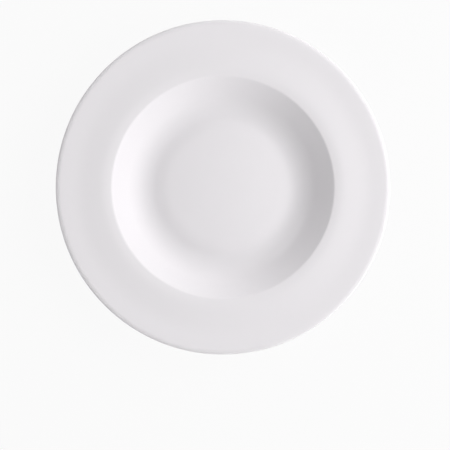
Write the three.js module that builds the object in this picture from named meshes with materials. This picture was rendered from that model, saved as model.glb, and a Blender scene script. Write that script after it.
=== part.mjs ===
// A deep plate of glazed porcelain: a wide, gently dished rim round a well, on a turned foot ring.
// Millimetres, +Z up. The origin is in the middle of the foot ring's land, where the plate stands.

import * as THREE from 'three';

// Finished plate, measured over the glaze
const RIM_DIAMETER = 300;
const PLATE_HEIGHT = 36;
const WELL_DIAMETER = 200.4; // across the edge where the rim turns down into the well
const FOOT_DIAMETER = 125; // across the outer edge of the ring that the plate stands on
const FOOT_HEIGHT = 4.2; // from the table up to the base outside the foot ring
const RECESS_DEPTH = 6.3; // from the table up to the middle of the base, inside the foot ring
const LIP_THICKNESS = 5.3;
const WALL_THICKNESS = 6.25; // under the well's edge, square to the inside of the wall
const FLOOR_THICKNESS = 5.6;

// Slopes above level, in degrees
const LIP_FALL_ANGLE = 11; // the lip falls to its outer edge
const RIM_OUTER_ANGLE = 9.5; // the rim is dished: steeper towards the lip
const RIM_INNER_ANGLE = 3;
const ROLL_ANGLE = 11.5; // of the border that rolls over into the well
const WALL_ANGLE = 43; // inside the well
const WALL_OUTER_ANGLE = 47;
const FLOOR_FALL_ANGLE = 2.8; // the floor is crowned: it falls gently from its middle
const FLOOR_EDGE_ANGLE = 10; // and more steeply to the foot of the wall
const UNDER_ANGLE = 5.7; // of the rim's underside
const BASE_ANGLE = 6; // of the base outside the foot ring
const FOOT_OUTER_ANGLE = 50;
const FOOT_INNER_ANGLE = 65;

// Widths along the radius
const LIP_WIDTH = 3.6; // from the rim's edge to where the dished rim starts
const LIP_FALL_WIDTH = 2.2;
const LIP_UNDER_WIDTH = 5; // of the level band under the lip
const DISH_WIDTH = 16.5; // of the rim's steeper part
const ROLL_WIDTH = 7;
const WELL_SIDE = 48.2; // from the well's edge in to where the floor starts its steeper fall
const FLOOR_CROWN = 21; // from the axis to where the floor's level middle and its fall would meet
const FOOT_LAND = 3.5;

// Radii of the rounded corners
const LIP_TOP_RADIUS = 1.6;
const LIP_CREST_RADIUS = 6;
const LIP_UNDER_RADIUS = 1.8;
const LIP_BORDER_RADIUS = 8; // where the lip runs into the rim
const LIP_UNDER_BORDER_RADIUS = 20;
const DISH_RADIUS = 100;
const ROLL_RADIUS = 45;
const WELL_EDGE_RADIUS = 4;
const WALL_INNER_RADIUS = 29;
const FLOOR_EDGE_RADIUS = 60;
const FLOOR_CROWN_RADIUS = 650;
const SHOULDER_RADIUS = 14;
const HEEL_RADIUS = 31.7;
const FOOT_FILLET = 4;
const FOOT_EDGE_RADIUS = 1.2;
const FOOT_INNER_EDGE_RADIUS = 1;
const RECESS_FILLET = 2;

// Glaze
const GLAZE_THICKNESS = 0.3;
const GLAZE_SEAT = 0.05; // clearance between the fired body and the glass on it
const GLAZE_LINE = 1.5; // height above the table where the glaze is wiped off the foot

// Facets
const FACETS_AROUND = 44;
const CHORD_SAG = 0.15; // how far a chord may stand off the arc that it cuts
const MOST_ROUNDED = 0.95; // the share of a side that the arcs at its two ends may take

const GLAZE_BUILD = GLAZE_SEAT + GLAZE_THICKNESS;

// Thickness of the fired body under glaze on both sides
const bare = (finished) => finished - 2 * GLAZE_BUILD;

// Lines in the half section, where x is the radius and y the height: a point and a slope

const line = (point, degrees) => ({ point, slope: Math.tan(THREE.MathUtils.degToRad(degrees)) });
const heightOn = ({ point, slope }, radius) => point.y + (radius - point.x) * slope;
const radiusOn = ({ point, slope }, height) => point.x + (height - point.y) / slope;
const at = (onLine, radius) => new THREE.Vector2(radius, heightOn(onLine, radius));

// The parallel line that lies under a line, a thickness away
function under({ point, slope }, thickness) {
  const drop = thickness * Math.hypot(1, slope);
  return { point: new THREE.Vector2(point.x, point.y - drop), slope };
}

function meet(a, b) {
  const radius = (heightOn(b, 0) - heightOn(a, 0)) / (a.slope - b.slope);
  return at(a, radius);
}

// Rounds the corners of an outline. Each corner is a point and a radius, and its arc becomes chords.
// Where two arcs want more of the side between them than there is, both shrink.
function rounded(corners) {
  const turns = corners.map(({ point }, i) => {
    if (!corners[i].radius) return 0;
    const into = point.clone().sub(corners[i - 1].point);
    const outOf = corners[i + 1].point.clone().sub(point);
    return Math.atan2(into.cross(outOf), into.dot(outOf));
  });
  const wanted = corners.map(({ radius }, i) => radius * Math.tan(Math.abs(turns[i]) / 2));
  const shares = corners.slice(1).map(({ point }, i) => {
    const side = point.distanceTo(corners[i].point);
    return Math.min(1, (MOST_ROUNDED * side) / (wanted[i] + wanted[i + 1]));
  });
  return corners.flatMap(({ point, radius }, i) => {
    if (!turns[i]) return [point];
    const share = Math.min(shares[i - 1], shares[i]);
    const into = point.clone().sub(corners[i - 1].point).normalize();
    const start = point.clone().addScaledVector(into, -wanted[i] * share);
    const sideways = new THREE.Vector2(-into.y, into.x).multiplyScalar(Math.sign(turns[i]));
    const centre = start.clone().addScaledVector(sideways, radius * share);
    const chordTurn = 2 * Math.acos(1 - CHORD_SAG / (radius * share));
    const chords = Math.ceil(Math.abs(turns[i]) / chordTurn);
    return Array.from({ length: chords + 1 }, (_, k) => (
      start.clone().rotateAround(centre, (turns[i] * k) / chords)
    ));
  });
}

// Moves an outline sideways by a distance, away from the body that lies on its left.
function raised(outline, distance) {
  const normals = outline.slice(1).map((point, i) => {
    const along = point.clone().sub(outline[i]).normalize();
    return new THREE.Vector2(along.y, -along.x);
  });
  return outline.map((point, i) => {
    const before = normals[Math.max(i - 1, 0)];
    const after = normals[Math.min(i, normals.length - 1)];
    const mitre = before.clone().add(after).divideScalar(1 + before.dot(after));
    return point.clone().addScaledVector(mitre, distance);
  });
}

// The closed section of glass on a stretch of the body's outline that begins or ends on the axis
function skin(stretch) {
  const outside = raised(stretch, GLAZE_BUILD);
  const inside = raised(stretch, GLAZE_SEAT).reverse();
  return stretch[0].x === 0 ? [...outside, ...inside] : [...inside, ...outside];
}

// Revolves a section about the plate's upright axis.
function turned(name, section, material) {
  const geometry = new THREE.LatheGeometry(section, FACETS_AROUND).rotateX(Math.PI / 2);
  const mesh = new THREE.Mesh(geometry, material);
  mesh.name = name;
  return mesh;
}

// The rim's upper side, from the falling edge of the lip inwards

const rimRadius = RIM_DIAMETER / 2 - GLAZE_BUILD;
const lipTop = PLATE_HEIGHT - GLAZE_BUILD;
const lipBottom = lipTop - bare(LIP_THICKNESS);
const lipCrest = new THREE.Vector2(rimRadius - LIP_FALL_WIDTH, lipTop);
const lipEdge = at(line(lipCrest, -LIP_FALL_ANGLE), rimRadius);
const lipBorder = new THREE.Vector2(rimRadius - LIP_WIDTH, lipTop);
const lipBorderUnder = new THREE.Vector2(rimRadius - LIP_UNDER_WIDTH, lipBottom);

const wellRadius = WELL_DIAMETER / 2;
const dish = at(line(lipBorder, RIM_OUTER_ANGLE), lipBorder.x - DISH_WIDTH);
const roll = at(line(dish, RIM_INNER_ANGLE), wellRadius + ROLL_WIDTH);
const wellEdge = at(line(roll, ROLL_ANGLE), wellRadius);

// The well: its wall runs down from the edge to the crowned floor

const recessTop = RECESS_DEPTH + GLAZE_BUILD;
const floorTop = recessTop + bare(FLOOR_THICKNESS);
const floorCrown = new THREE.Vector2(FLOOR_CROWN, floorTop);
const floorFall = line(floorCrown, -FLOOR_FALL_ANGLE);
const floorEdge = at(floorFall, wellRadius - WELL_SIDE);
const wallInside = line(wellEdge, WALL_ANGLE);
const wallFoot = meet(wallInside, line(floorEdge, -FLOOR_EDGE_ANGLE));

// The foot ring: a flared outer wall, a level land and an inner wall

const landOutside = new THREE.Vector2(FOOT_DIAMETER / 2, 0);
const landInside = new THREE.Vector2(landOutside.x - FOOT_LAND, 0);
const footOutside = line(landOutside, FOOT_OUTER_ANGLE);
const footInside = line(landInside, -FOOT_INNER_ANGLE);
const footTop = at(footOutside, radiusOn(footOutside, FOOT_HEIGHT + GLAZE_BUILD));
const outerGlazeLine = at(footOutside, radiusOn(footOutside, GLAZE_LINE));
const innerGlazeLine = at(footInside, radiusOn(footInside, GLAZE_LINE));

// The outside: the recess in the base, a thickness under the floor, then base, wall and the rim's underside

const recessFall = under(floorFall, bare(FLOOR_THICKNESS));
const recessMiddle = new THREE.Vector2(0, recessTop);
const recessCrown = meet(recessFall, line(recessMiddle, 0));
const recessEdge = meet(footInside, recessFall);
const wallOutside = line(under(wallInside, bare(WALL_THICKNESS)).point, WALL_OUTER_ANGLE);
const rimUnder = line(lipBorderUnder, UNDER_ANGLE);
const heel = meet(wallOutside, line(footTop, BASE_ANGLE));
const shoulder = meet(wallOutside, rimUnder);

const outline = rounded([
  { point: recessMiddle, radius: 0 },
  { point: recessCrown, radius: FLOOR_CROWN_RADIUS - bare(FLOOR_THICKNESS) },
  { point: recessEdge, radius: RECESS_FILLET },
  { point: innerGlazeLine, radius: 0 },
  { point: landInside, radius: FOOT_INNER_EDGE_RADIUS },
  { point: landOutside, radius: FOOT_EDGE_RADIUS },
  { point: outerGlazeLine, radius: 0 },
  { point: footTop, radius: FOOT_FILLET },
  { point: heel, radius: HEEL_RADIUS },
  { point: shoulder, radius: SHOULDER_RADIUS },
  { point: lipBorderUnder, radius: LIP_UNDER_BORDER_RADIUS },
  { point: new THREE.Vector2(rimRadius, lipBottom), radius: LIP_UNDER_RADIUS },
  { point: lipEdge, radius: LIP_TOP_RADIUS },
  { point: lipCrest, radius: LIP_CREST_RADIUS },
  { point: lipBorder, radius: LIP_BORDER_RADIUS },
  { point: dish, radius: DISH_RADIUS },
  { point: roll, radius: ROLL_RADIUS },
  { point: wellEdge, radius: WELL_EDGE_RADIUS },
  { point: wallFoot, radius: WALL_INNER_RADIUS },
  { point: floorEdge, radius: FLOOR_EDGE_RADIUS },
  { point: floorCrown, radius: FLOOR_CROWN_RADIUS },
  { point: new THREE.Vector2(0, floorTop), radius: 0 },
]);

const porcelain = new THREE.MeshStandardMaterial({ color: 0xeae6dc, roughness: 0.75, metalness: 0 });
const glaze = new THREE.MeshStandardMaterial({ color: 0xf2f0f2, roughness: 0.12, metalness: 0 });

// The glaze covers the body on both sides of the foot ring and leaves its land bare.
const coated = outline.slice(outline.indexOf(outerGlazeLine));
const coatedBase = outline.slice(0, outline.indexOf(innerGlazeLine) + 1);

const plate = new THREE.Group();
plate.add(turned('porcelain_body', outline, porcelain));
plate.add(turned('glaze_coat', skin(coated), glaze));
plate.add(turned('base_glaze', skin(coatedBase), glaze.clone()));

export default plate;
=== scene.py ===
import math

import bpy
from mathutils import Matrix, Vector


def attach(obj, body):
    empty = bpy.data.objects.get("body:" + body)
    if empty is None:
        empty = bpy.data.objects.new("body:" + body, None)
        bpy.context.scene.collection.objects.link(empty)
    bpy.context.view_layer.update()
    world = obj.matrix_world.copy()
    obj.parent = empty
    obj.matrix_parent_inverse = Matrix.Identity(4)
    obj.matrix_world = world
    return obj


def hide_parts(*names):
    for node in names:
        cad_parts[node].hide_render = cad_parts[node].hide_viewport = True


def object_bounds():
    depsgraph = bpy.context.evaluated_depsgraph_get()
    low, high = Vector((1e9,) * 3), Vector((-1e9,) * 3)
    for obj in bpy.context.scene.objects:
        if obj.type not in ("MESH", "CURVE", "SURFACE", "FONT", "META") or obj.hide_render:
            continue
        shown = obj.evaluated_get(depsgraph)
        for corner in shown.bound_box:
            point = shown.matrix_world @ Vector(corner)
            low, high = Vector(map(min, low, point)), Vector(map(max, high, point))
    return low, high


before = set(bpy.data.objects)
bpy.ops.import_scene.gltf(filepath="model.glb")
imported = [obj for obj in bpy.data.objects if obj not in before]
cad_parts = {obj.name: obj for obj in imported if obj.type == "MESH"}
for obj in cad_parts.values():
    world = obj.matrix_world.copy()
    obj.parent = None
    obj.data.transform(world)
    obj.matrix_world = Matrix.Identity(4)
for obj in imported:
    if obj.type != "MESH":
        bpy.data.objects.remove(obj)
cad_low, cad_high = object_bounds()

# The fired body: a jiggered lump of white porcelain with a wide dished rim, a sloped well and a foot ring.
# It is fired to a dense, matt biscuit, in sight only on the foot's land, where the glaze is wiped off.
# Its half section is a chain of sloping lines with rounded corners, turned about the plate's axis.

RIM_RADIUS = cad_high.x
PLATE_HEIGHT = cad_high.z
WELL_RADIUS = 0.1002
FOOT_RADIUS = 0.0625
FOOT_HEIGHT = 0.0042
RECESS_DEPTH = 0.0063
LIP_THICKNESS = 0.0053
WALL_THICKNESS = 0.00625
FLOOR_THICKNESS = 0.0056
GLAZE_THICKNESS = 0.0003
GLAZE_SEAT = 0.00005
GLAZE_LINE = 0.0015
GLAZE_BUILD = GLAZE_SEAT + GLAZE_THICKNESS

LIP_FALL_ANGLE = 11
RIM_OUTER_ANGLE = 9.5
RIM_INNER_ANGLE = 3
ROLL_ANGLE = 11.5
WALL_ANGLE = 43
WALL_OUTER_ANGLE = 47
FLOOR_FALL_ANGLE = 2.8
FLOOR_EDGE_ANGLE = 10
UNDER_ANGLE = 5.7
BASE_ANGLE = 6
FOOT_OUTER_ANGLE = 50
FOOT_INNER_ANGLE = 65

LIP_WIDTH = 0.0036
LIP_FALL_WIDTH = 0.0022
LIP_UNDER_WIDTH = 0.005
DISH_WIDTH = 0.0165
ROLL_WIDTH = 0.007
WELL_SIDE = 0.0482
FLOOR_CROWN = 0.021
FOOT_LAND = 0.0035

LIP_TOP_CORNER = 0.0016
LIP_CREST_CORNER = 0.006
LIP_UNDER_CORNER = 0.0018
LIP_BORDER_CORNER = 0.008
LIP_UNDER_BORDER_CORNER = 0.020
DISH_CORNER = 0.100
ROLL_CORNER = 0.045
WELL_EDGE_CORNER = 0.004
WALL_FOOT_CORNER = 0.029
FLOOR_EDGE_CORNER = 0.060
FLOOR_CROWN_CORNER = 0.650
SHOULDER_CORNER = 0.014
HEEL_CORNER = 0.0317
FOOT_FILLET = 0.004
FOOT_EDGE_CORNER = 0.0012
FOOT_INNER_CORNER = 0.001
RECESS_FILLET = 0.002

ARC_STEP = math.radians(4)
FEWEST_CHORDS = 2
LONGEST_SIDE = 0.003
MOST_ROUNDED = 0.95
SEGMENTS_AROUND = 192
ON_AXIS = 0.000001


def bare(finished):
    """Thickness of the fired body under glaze on both sides."""
    return finished - 2 * GLAZE_BUILD


def sloping(point, degrees):
    """A line in the half section: a point, and its rise for each metre of radius."""
    return point, math.tan(math.radians(degrees))


def at_radius(line, radius):
    """The point of a line at a distance from the axis."""
    point, slope = line
    return Vector((radius, point.y + (radius - point.x) * slope))


def at_height(line, height):
    """The point of a line at a height above the table."""
    point, slope = line
    return Vector((point.x + (height - point.y) / slope, height))


def below(line, thickness):
    """The parallel line that lies under a line, a thickness away."""
    point, slope = line
    return point - Vector((0, thickness * math.hypot(1, slope))), slope


def crossing(first, second):
    """The point where two lines meet."""
    rise = at_radius(second, 0).y - at_radius(first, 0).y
    return at_radius(first, rise / (first[1] - second[1]))


def turn_at(points, i):
    """The signed angle that an outline turns through at one of its inner points."""
    into = points[i] - points[i - 1]
    out_of = points[i + 1] - points[i]
    return math.atan2(into.cross(out_of), into.dot(out_of))


def rounded(corners):
    """Turns (point, radius) corners into an outline, with each rounded corner as a fine arc."""
    points = [point for point, _ in corners]
    radii = [radius for _, radius in corners]
    turns = [turn_at(points, i) if radius else 0 for i, radius in enumerate(radii)]
    wanted = [radius * math.tan(abs(turn) / 2) for radius, turn in zip(radii, turns)]
    shares = []
    for i in range(len(points) - 1):
        side = (points[i + 1] - points[i]).length
        taken = wanted[i] + wanted[i + 1]
        shares.append(min(1, MOST_ROUNDED * side / taken) if taken else 1)
    outline = []
    for i, point in enumerate(points):
        if not turns[i]:
            outline.append(point)
            continue
        share = min(shares[i - 1], shares[i])
        radius = radii[i] * share
        into = (point - points[i - 1]).normalized()
        start = point - into * wanted[i] * share
        centre = start + Vector((-into.y, into.x)) * math.copysign(radius, turns[i])
        step = min(ARC_STEP, LONGEST_SIDE / radius)
        chords = max(FEWEST_CHORDS, math.ceil(abs(turns[i]) / step))
        for k in range(chords + 1):
            outline.append(centre + Matrix.Rotation(turns[i] * k / chords, 2) @ (start - centre))
    return outline


def divided(outline):
    """Adds points along straight stretches of an outline, so that smooth shading keeps them straight."""
    points = outline[:1]
    for before, after in zip(outline, outline[1:]):
        steps = math.ceil((after - before).length / LONGEST_SIDE)
        points += [before.lerp(after, k / steps) for k in range(1, steps)]
        points.append(after)
    return points


def turned(name, section, material):
    """Revolves a half section, which runs from axis to axis or closes on itself, into a piece."""
    poles = [point.x < ON_AXIS for point in section]
    rings, vertices, faces = [], [], []
    for point, pole in zip(section, poles):
        if pole:
            rings.append([len(vertices)] * SEGMENTS_AROUND)
            vertices.append((0, 0, point.y))
            continue
        rings.append(list(range(len(vertices), len(vertices) + SEGMENTS_AROUND)))
        for k in range(SEGMENTS_AROUND):
            angle = math.tau * k / SEGMENTS_AROUND
            vertices.append((point.x * math.cos(angle), point.x * math.sin(angle), point.y))
    pairs = list(zip(rings, rings[1:]))
    if not poles[0]:
        pairs.append((rings[-1], rings[0]))
    for ring, next_ring in pairs:
        for k in range(SEGMENTS_AROUND):
            following = (k + 1) % SEGMENTS_AROUND
            corners = [ring[k], ring[following], next_ring[following], next_ring[k]]
            faces.append(list(dict.fromkeys(corners)))
    mesh = bpy.data.meshes.new(name)
    mesh.from_pydata(vertices, [], [face for face in faces if len(face) > 2])
    mesh.shade_smooth()
    mesh.materials.append(material)
    piece = bpy.data.objects.new(name, mesh)
    bpy.context.scene.collection.objects.link(piece)
    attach(piece, "root")
    return piece


rim_radius = RIM_RADIUS - GLAZE_BUILD
lip_top = PLATE_HEIGHT - GLAZE_BUILD
lip_bottom = lip_top - bare(LIP_THICKNESS)
lip_crest = Vector((rim_radius - LIP_FALL_WIDTH, lip_top))
lip_edge = at_radius(sloping(lip_crest, -LIP_FALL_ANGLE), rim_radius)
lip_edge_under = Vector((rim_radius, lip_bottom))
lip_border = Vector((rim_radius - LIP_WIDTH, lip_top))
lip_border_under = Vector((rim_radius - LIP_UNDER_WIDTH, lip_bottom))

dish = at_radius(sloping(lip_border, RIM_OUTER_ANGLE), lip_border.x - DISH_WIDTH)
roll = at_radius(sloping(dish, RIM_INNER_ANGLE), WELL_RADIUS + ROLL_WIDTH)
well_edge = at_radius(sloping(roll, ROLL_ANGLE), WELL_RADIUS)

recess_top = RECESS_DEPTH + GLAZE_BUILD
floor_top = recess_top + bare(FLOOR_THICKNESS)
floor_middle = Vector((0, floor_top))
floor_crown = Vector((FLOOR_CROWN, floor_top))
floor_fall = sloping(floor_crown, -FLOOR_FALL_ANGLE)
floor_edge = at_radius(floor_fall, WELL_RADIUS - WELL_SIDE)
wall_inside = sloping(well_edge, WALL_ANGLE)
wall_foot = crossing(wall_inside, sloping(floor_edge, -FLOOR_EDGE_ANGLE))

land_outside = Vector((FOOT_RADIUS, 0))
land_inside = Vector((land_outside.x - FOOT_LAND, 0))
foot_outside = sloping(land_outside, FOOT_OUTER_ANGLE)
foot_inside = sloping(land_inside, -FOOT_INNER_ANGLE)
foot_top = at_height(foot_outside, FOOT_HEIGHT + GLAZE_BUILD)
outer_glaze_line = at_height(foot_outside, GLAZE_LINE)
inner_glaze_line = at_height(foot_inside, GLAZE_LINE)

recess_fall = below(floor_fall, bare(FLOOR_THICKNESS))
recess_middle = Vector((0, recess_top))
recess_crown = crossing(recess_fall, sloping(recess_middle, 0))
recess_edge = crossing(foot_inside, recess_fall)
wall_outside = sloping(below(wall_inside, bare(WALL_THICKNESS))[0], WALL_OUTER_ANGLE)
heel = crossing(wall_outside, sloping(foot_top, BASE_ANGLE))
shoulder = crossing(wall_outside, sloping(lip_border_under, UNDER_ANGLE))

body_outline = divided(rounded([
    (recess_middle, 0),
    (recess_crown, FLOOR_CROWN_CORNER - bare(FLOOR_THICKNESS)),
    (recess_edge, RECESS_FILLET),
    (inner_glaze_line, 0),
    (land_inside, FOOT_INNER_CORNER),
    (land_outside, FOOT_EDGE_CORNER),
    (outer_glaze_line, 0),
    (foot_top, FOOT_FILLET),
    (heel, HEEL_CORNER),
    (shoulder, SHOULDER_CORNER),
    (lip_border_under, LIP_UNDER_BORDER_CORNER),
    (lip_edge_under, LIP_UNDER_CORNER),
    (lip_edge, LIP_TOP_CORNER),
    (lip_crest, LIP_CREST_CORNER),
    (lip_border, LIP_BORDER_CORNER),
    (dish, DISH_CORNER),
    (roll, ROLL_CORNER),
    (well_edge, WELL_EDGE_CORNER),
    (wall_foot, WALL_FOOT_CORNER),
    (floor_edge, FLOOR_EDGE_CORNER),
    (floor_crown, FLOOR_CROWN_CORNER),
    (floor_middle, 0),
]))


class Socket:
    """An output of a shader node. Arithmetic on it adds Math nodes to the same tree."""

    def __init__(self, tree, output=None):
        self.tree = tree
        self.output = output

    def node(self, kind, settings=None, inputs=None, output=0):
        """Adds a node, with its settings first and then the values or links of its sockets."""
        added = self.tree.nodes.new(kind)
        for name, value in (settings or {}).items():
            setattr(added, name, value)
        for name, value in (inputs or {}).items():
            if isinstance(value, Socket):
                self.tree.links.new(value.output, added.inputs[name])
            else:
                added.inputs[name].default_value = value
        return Socket(self.tree, added.outputs[output] if added.outputs else None)

    def of_same_node(self, output):
        """Another output of the node that this one belongs to."""
        return Socket(self.tree, self.output.node.outputs[output])

    def math(self, operation, first, second=0):
        """One step of arithmetic on values."""
        return self.node("ShaderNodeMath", {"operation": operation}, {0: first, 1: second})

    def blend(self, factor, first, second):
        """Mixes two colours. A Mix node takes colours in sockets 6 and 7, and gives one in socket 2."""
        inputs = {0: factor, 6: first, 7: second}
        return self.node("ShaderNodeMix", {"data_type": "RGBA"}, inputs, output=2)

    def noise(self, place, size, detail):
        """Cloudy noise, from 0 to 1, with lumps of about a size in metres."""
        inputs = {"Vector": place, "Scale": 1 / size, "Detail": detail}
        return self.node("ShaderNodeTexNoise", {}, inputs)

    def fade(self, start, end):
        """1 where the value is start, running smoothly to 0 where it is end."""
        return self.node("ShaderNodeMapRange", {"interpolation_type": "SMOOTHSTEP"}, {
            "Value": self, "From Min": start, "From Max": end, "To Min": 1, "To Max": 0,
        })

    def __add__(self, other):
        return self.math("ADD", self, other)

    def __radd__(self, other):
        return self.math("ADD", other, self)

    def __sub__(self, other):
        return self.math("SUBTRACT", self, other)

    def __rsub__(self, other):
        return self.math("SUBTRACT", other, self)

    def __mul__(self, other):
        return self.math("MULTIPLY", self, other)

    def __rmul__(self, other):
        return self.math("MULTIPLY", other, self)


def new_material(name):
    """A material with no nodes yet, and a socket that adds nodes to it."""
    material = bpy.data.materials.new(name)
    material.use_nodes = True
    material.node_tree.nodes.clear()
    return material, Socket(material.node_tree)


BISCUIT_PALE = (0.80, 0.765, 0.69, 1)
BISCUIT_DARK = (0.70, 0.66, 0.585, 1)
BISCUIT_ROUGHNESS = 0.62
BISCUIT_DETAIL = 3
GRAIN_SIZE = 0.0004
GRAIN_DEPTH = 0.00008
GRAIN_STRENGTH = 0.5
GRAIN_ROUGHNESS = 0.2
RUB_MARK = (0.42, 0.40, 0.37, 1)
RUB_SIZE = 0.006
RUB_HEIGHT = 0.0002
RUB_BEGINS = 0.52
RUB_FULL = 0.66
RUB_TONE = 0.5
RUB_POLISH = 0.2


def biscuit():
    """Dense matt porcelain, faintly creamy, with a fine grain and grey rub marks where it stands."""
    material, tree = new_material("biscuit_porcelain")
    place = tree.node("ShaderNodeTexCoord", output="Object")
    grain = tree.noise(place, GRAIN_SIZE, BISCUIT_DETAIL)
    blotch = tree.noise(place, RUB_SIZE, BISCUIT_DETAIL)
    height = tree.node("ShaderNodeSeparateXYZ", {}, {0: place}, output="Z")
    rubbed = height.fade(0, RUB_HEIGHT) * (1 - blotch.fade(RUB_BEGINS, RUB_FULL))
    tone = tree.blend(grain, BISCUIT_DARK, BISCUIT_PALE)
    bump = tree.node("ShaderNodeBump", {}, {
        "Strength": GRAIN_STRENGTH, "Distance": GRAIN_DEPTH, "Height": grain,
    })
    shader = tree.node("ShaderNodeBsdfPrincipled", {}, {
        "Base Color": tree.blend(RUB_TONE * rubbed, tone, RUB_MARK),
        "Roughness": BISCUIT_ROUGHNESS + GRAIN_ROUGHNESS * grain - RUB_POLISH * rubbed,
        "Normal": bump,
    })
    tree.node("ShaderNodeOutputMaterial", {}, {"Surface": shader})
    return material


fired_body = turned("fired_body", body_outline, biscuit())
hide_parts("porcelain_body")


# The glaze: a thin skin of clear-white glass that the plate is dipped in and that melts on in the fire.
# It runs from the outer wall of the foot ring up the outside, over the lip and across the well.
# Along the wiped line on the foot it draws back into a soft rolled edge.

EDGE_CHORDS = 6
BEAD_RISE = 0.00012
BEAD_WIDTH = 0.0016


def raised(outline, distances):
    """Moves an outline sideways, away from the body that lies on its left, by a distance for each point."""
    normals = []
    for before, after in zip(outline, outline[1:]):
        along = (after - before).normalized()
        normals.append(Vector((along.y, -along.x)))
    moved = []
    for i, point in enumerate(outline):
        first = normals[max(i - 1, 0)]
        second = normals[min(i, len(normals) - 1)]
        mitre = (first + second) / (1 + first.dot(second))
        moved.append(point + mitre * distances[i])
    return moved


def half_round(start, end):
    """The points of a half circle between two points, leaving out both, bulging to the right of the way."""
    centre = (start + end) / 2
    return [
        centre + Matrix.Rotation(math.pi * k / EDGE_CHORDS, 2) @ (start - centre)
        for k in range(1, EDGE_CHORDS)
    ]


def glass_height(point, wiped_edge):
    """How far the glass stands off the body: a little more in the bead beside its wiped edge."""
    away = min(1, (point - wiped_edge).length / BEAD_WIDTH)
    return GLAZE_BUILD + BEAD_RISE * math.sin(math.pi * away) ** 2


def skin(stretch):
    """The closed section of glass on a stretch of the body's outline that begins or ends on the axis."""
    from_axis = stretch[0].x < ON_AXIS
    wiped_edge = stretch[-1] if from_axis else stretch[0]
    outside = raised(stretch, [glass_height(point, wiped_edge) for point in stretch])
    inside = raised(stretch, [GLAZE_SEAT] * len(stretch))
    inside.reverse()
    if from_axis:
        return outside + half_round(outside[-1], inside[0]) + inside
    return inside + half_round(inside[-1], outside[0]) + outside


GLAZE_WHITE = (0.875, 0.851, 0.875, 1)
GLAZE_CLOUD = (0.865, 0.842, 0.866, 1)
GLAZE_ROUGHNESS = 0.10
GLAZE_IOR = 1.5
CLOUD_SIZE = 0.035
CLOUD_DETAIL = 3
CLOUD_ROUGHNESS = 0.05
GLAZE_POOL = (0.840, 0.820, 0.844, 1)
POOL_RADIUS = wall_foot.x - WALL_FOOT_CORNER / 4
POOL_WIDTH = WALL_FOOT_CORNER / 2
POOL_LEAST = 0.5
POOL_TONE = 0.5
GLAZE_SPECK = (0.52, 0.49, 0.44, 1)
SPECK_SPACING = 1 / 70
SPECK_CORE = 0.000086
SPECK_EDGE = 0.0002
SPECK_CHANCE_BEGINS = 0.80
SPECK_CHANCE_FULL = 0.86
SPECK_TONE = 0.5
WAVE_HEIGHT = 0.000006
WAVE_DETAIL = 2
PEEL_SIZE = 0.0035
PEEL_SHARE = 0.6
TURNING_SIZE = 0.009


def porcelain_glaze():
    """Clear-white glass: smooth and glossy, with the faint waves and tone of a dipped glaze."""
    material, tree = new_material("porcelain_glaze")
    place = tree.node("ShaderNodeTexCoord", output="Object")
    flat = tree.node("ShaderNodeVectorMath", {"operation": "MULTIPLY"}, {0: place, 1: (1, 1, 0)})
    radius = tree.node("ShaderNodeVectorMath", {"operation": "LENGTH"}, {0: flat}, output="Value")

    cloud = tree.noise(place, CLOUD_SIZE, CLOUD_DETAIL)
    off_pool = tree.math("ABSOLUTE", radius - POOL_RADIUS)
    pooled = off_pool.fade(0, POOL_WIDTH) * (POOL_LEAST + cloud)
    spread = {"Vector": place, "Scale": 1 / SPECK_SPACING}
    off_speck = tree.node("ShaderNodeTexVoronoi", {}, spread, output="Distance")
    chance = tree.node("ShaderNodeSeparateColor", {}, {0: off_speck.of_same_node("Color")})
    chosen = 1 - chance.fade(SPECK_CHANCE_BEGINS, SPECK_CHANCE_FULL)
    speck = off_speck.fade(SPECK_CORE / SPECK_SPACING, SPECK_EDGE / SPECK_SPACING) * chosen
    tone = tree.blend(cloud, GLAZE_CLOUD, GLAZE_WHITE)
    tone = tree.blend(POOL_TONE * pooled, tone, GLAZE_POOL)
    tone = tree.blend(SPECK_TONE * speck, tone, GLAZE_SPECK)

    peel = tree.noise(place, PEEL_SIZE, WAVE_DETAIL)
    across = tree.node("ShaderNodeCombineXYZ", {}, {0: radius})
    turning = tree.noise(across, TURNING_SIZE, WAVE_DETAIL)
    waves = tree.node("ShaderNodeBump", {}, {
        "Strength": 1, "Distance": WAVE_HEIGHT, "Height": PEEL_SHARE * peel + turning - speck,
    })
    shader = tree.node("ShaderNodeBsdfPrincipled", {}, {
        "Base Color": tone,
        "Roughness": GLAZE_ROUGHNESS + CLOUD_ROUGHNESS * cloud,
        "IOR": GLAZE_IOR,
        "Normal": waves,
    })
    tree.node("ShaderNodeOutputMaterial", {}, {"Surface": shader})
    return material


glaze = porcelain_glaze()
coated = body_outline[body_outline.index(outer_glaze_line):]
glaze_over_plate = turned("glaze_over_plate", skin(coated), glaze)
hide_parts("glaze_coat")


# The base glaze: the same glass in the recess inside the foot ring.
# The bare land keeps it apart from the rest, so that the plate doesn't fuse to the kiln shelf.

coated_base = body_outline[:body_outline.index(inner_glaze_line) + 1]
glaze_in_recess = turned("glaze_in_recess", skin(coated_base), glaze)
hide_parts("base_glaze")


# The floor: a plain, pale, matt table top that the plate stands on.
# To the camera, and in the gloss of the glaze, it is nearly white, and it keeps the plate's shadow.

FLOOR_SIZE = 6.0
FLOOR_GREY = 0.55
FLOOR_GLOW = 0.93


def grey(level):
    """A colour without a hue."""
    return (level, level, level, 1)


def seen_directly(tree):
    """1 for what the camera sees, also in a mirror or through glass, and 0 for light that is scattered."""
    path = tree.node("ShaderNodeLightPath", output="Is Camera Ray")
    seen = path
    for ray in ("Is Glossy Ray", "Is Transmission Ray"):
        seen = tree.math("MAXIMUM", seen, path.of_same_node(ray))
    return seen


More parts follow.
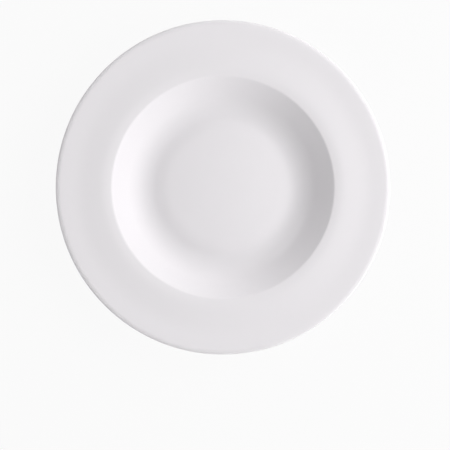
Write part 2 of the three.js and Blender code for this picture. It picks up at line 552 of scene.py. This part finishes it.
floor_material, floor_tree = new_material("pale_floor")
shade = floor_tree.node("ShaderNodeBsdfDiffuse", {}, {"Color": grey(FLOOR_GREY)})
glow = floor_tree.node("ShaderNodeEmission", {}, {"Color": grey(1), "Strength": 1})
floor_surface = floor_tree.node("ShaderNodeMixShader", {}, {
    0: FLOOR_GLOW * seen_directly(floor_tree), 1: shade, 2: glow,
})
floor_tree.node("ShaderNodeOutputMaterial", {}, {"Surface": floor_surface})

reach = FLOOR_SIZE / 2
floor_corners = [(-reach, -reach, 0), (reach, -reach, 0), (reach, reach, 0), (-reach, reach, 0)]
floor_mesh = bpy.data.meshes.new("floor")
floor_mesh.from_pydata(floor_corners, [], [(0, 1, 2, 3)])
floor_mesh.materials.append(floor_material)
floor = bpy.data.objects.new("floor", floor_mesh)
bpy.context.scene.collection.objects.link(floor)


# The light: a white tent, brightest low down at the front and the back, with one soft box on the right.
# A strip of the table under the plate and a low fill on the left of it shine up on the plate's outside.
# The glaze mirrors the white backdrop and two soft panels, which give it its sheen, but none of the lamps.

BACKDROP_WHITE = 0.955
TENT_EVEN = 0.182
TENT_ENDS = 1.263
KEY_POWER = 9.9
KEY_SIZE = (1.2, 0.8)
KEY_DISTANCE = 1.0
KEY_ELEVATION = math.radians(40)
KEY_AZIMUTH = math.radians(6)
JUST_ABOVE_TABLE = 0.0005
TABLE_POWER = 0.45
TABLE_SIZE = (0.19, 1.2)
TABLE_PLACE = Vector((0.01, 0, JUST_ABOVE_TABLE))
FILL_POWER = 3.6
FILL_SIZE = (0.4, 1.2)
FILL_PLACE = Vector((-0.5, 0, JUST_ABOVE_TABLE))
UPWARDS = Vector((0, 0, 1))
PANEL_DISTANCE = 1.5
WINDOW_POWER = 0.6
WINDOW_SIZE = (0.6, 0.4)
WINDOW_ELEVATION = math.radians(44)
WINDOW_AZIMUTH = math.radians(142)
BANK_POWER = 0.42
BANK_SIZE = (0.9, 0.3)
BANK_ELEVATION = math.radians(26)
BANK_AZIMUTH = math.radians(-45)

world = bpy.data.worlds.new("studio")
bpy.context.scene.world = world
world.use_nodes = True
world.node_tree.nodes.clear()
sky = Socket(world.node_tree)
direction = sky.node("ShaderNodeTexCoord", output="Generated")
up = sky.node("ShaderNodeSeparateXYZ", {}, {0: direction}, output="Z")
lowness = 1 - sky.math("MAXIMUM", up, 0)
endwise = sky.math("ABSOLUTE", up.of_same_node("Y"))
tent = sky.node("ShaderNodeBackground", {}, {
    "Color": grey(1), "Strength": TENT_EVEN + TENT_ENDS * lowness * endwise,
})
backdrop = sky.node("ShaderNodeBackground", {}, {"Color": grey(1), "Strength": BACKDROP_WHITE})
surroundings = sky.node("ShaderNodeMixShader", {}, {0: seen_directly(sky), 1: tent, 2: backdrop})
sky.node("ShaderNodeOutputWorld", {}, {"Surface": surroundings})


def soft_box(name, place, aim, size, power, mirrored=False):
    """A lamp, unseen by the camera, that only lights surfaces or, if mirrored, only shows in their gloss."""
    light = bpy.data.lights.new(name, "AREA")
    light.shape = "RECTANGLE"
    light.size, light.size_y = size
    light.energy = power
    lamp = bpy.data.objects.new(name, light)
    lamp.location = place
    lamp.rotation_euler = aim.to_track_quat("-Z", "Y").to_euler()
    lamp.visible_camera = False
    lamp.visible_diffuse = not mirrored
    lamp.visible_glossy = mirrored
    bpy.context.scene.collection.objects.link(lamp)


def round_plate(distance, azimuth, elevation):
    """A place in the room, seen from the plate."""
    level = distance * math.cos(elevation)
    height = distance * math.sin(elevation)
    return Vector((level * math.cos(azimuth), level * math.sin(azimuth), height))


key_place = round_plate(KEY_DISTANCE, KEY_AZIMUTH, KEY_ELEVATION)
soft_box("key", key_place, -key_place, KEY_SIZE, KEY_POWER)
soft_box("lit_table", TABLE_PLACE, UPWARDS, TABLE_SIZE, TABLE_POWER)
soft_box("fill", FILL_PLACE, UPWARDS, FILL_SIZE, FILL_POWER)
window_place = round_plate(PANEL_DISTANCE, WINDOW_AZIMUTH, WINDOW_ELEVATION)
soft_box("window", window_place, -window_place, WINDOW_SIZE, WINDOW_POWER, mirrored=True)
bank_place = round_plate(PANEL_DISTANCE, BANK_AZIMUTH, BANK_ELEVATION)
soft_box("bank", bank_place, -bank_place, BANK_SIZE, BANK_POWER, mirrored=True)


# The camera: straight above the plate, which has the same place and size in the picture as in the photo.
# It is so far off that the depth of the well hardly changes the size of its rings.

PICTURE_PIXELS = 450
PLATE_CENTRE = Vector((222.9, 187.3))
PLATE_PIXELS = 334.8
CAMERA_DISTANCE = 2.2

camera_data = bpy.data.cameras.new("camera")
camera = bpy.data.objects.new("camera", camera_data)
bpy.context.scene.collection.objects.link(camera)
bpy.context.scene.camera = camera
metres_per_pixel = 2 * RIM_RADIUS / PLATE_PIXELS
off_centre = (PLATE_CENTRE - Vector((PICTURE_PIXELS, PICTURE_PIXELS)) / 2) * metres_per_pixel
camera.location = (-off_centre.x, off_centre.y, PLATE_HEIGHT + CAMERA_DISTANCE)
camera_data.lens = camera_data.sensor_width * CAMERA_DISTANCE / (PICTURE_PIXELS * metres_per_pixel)

bpy.context.scene.view_settings.view_transform = "Standard"
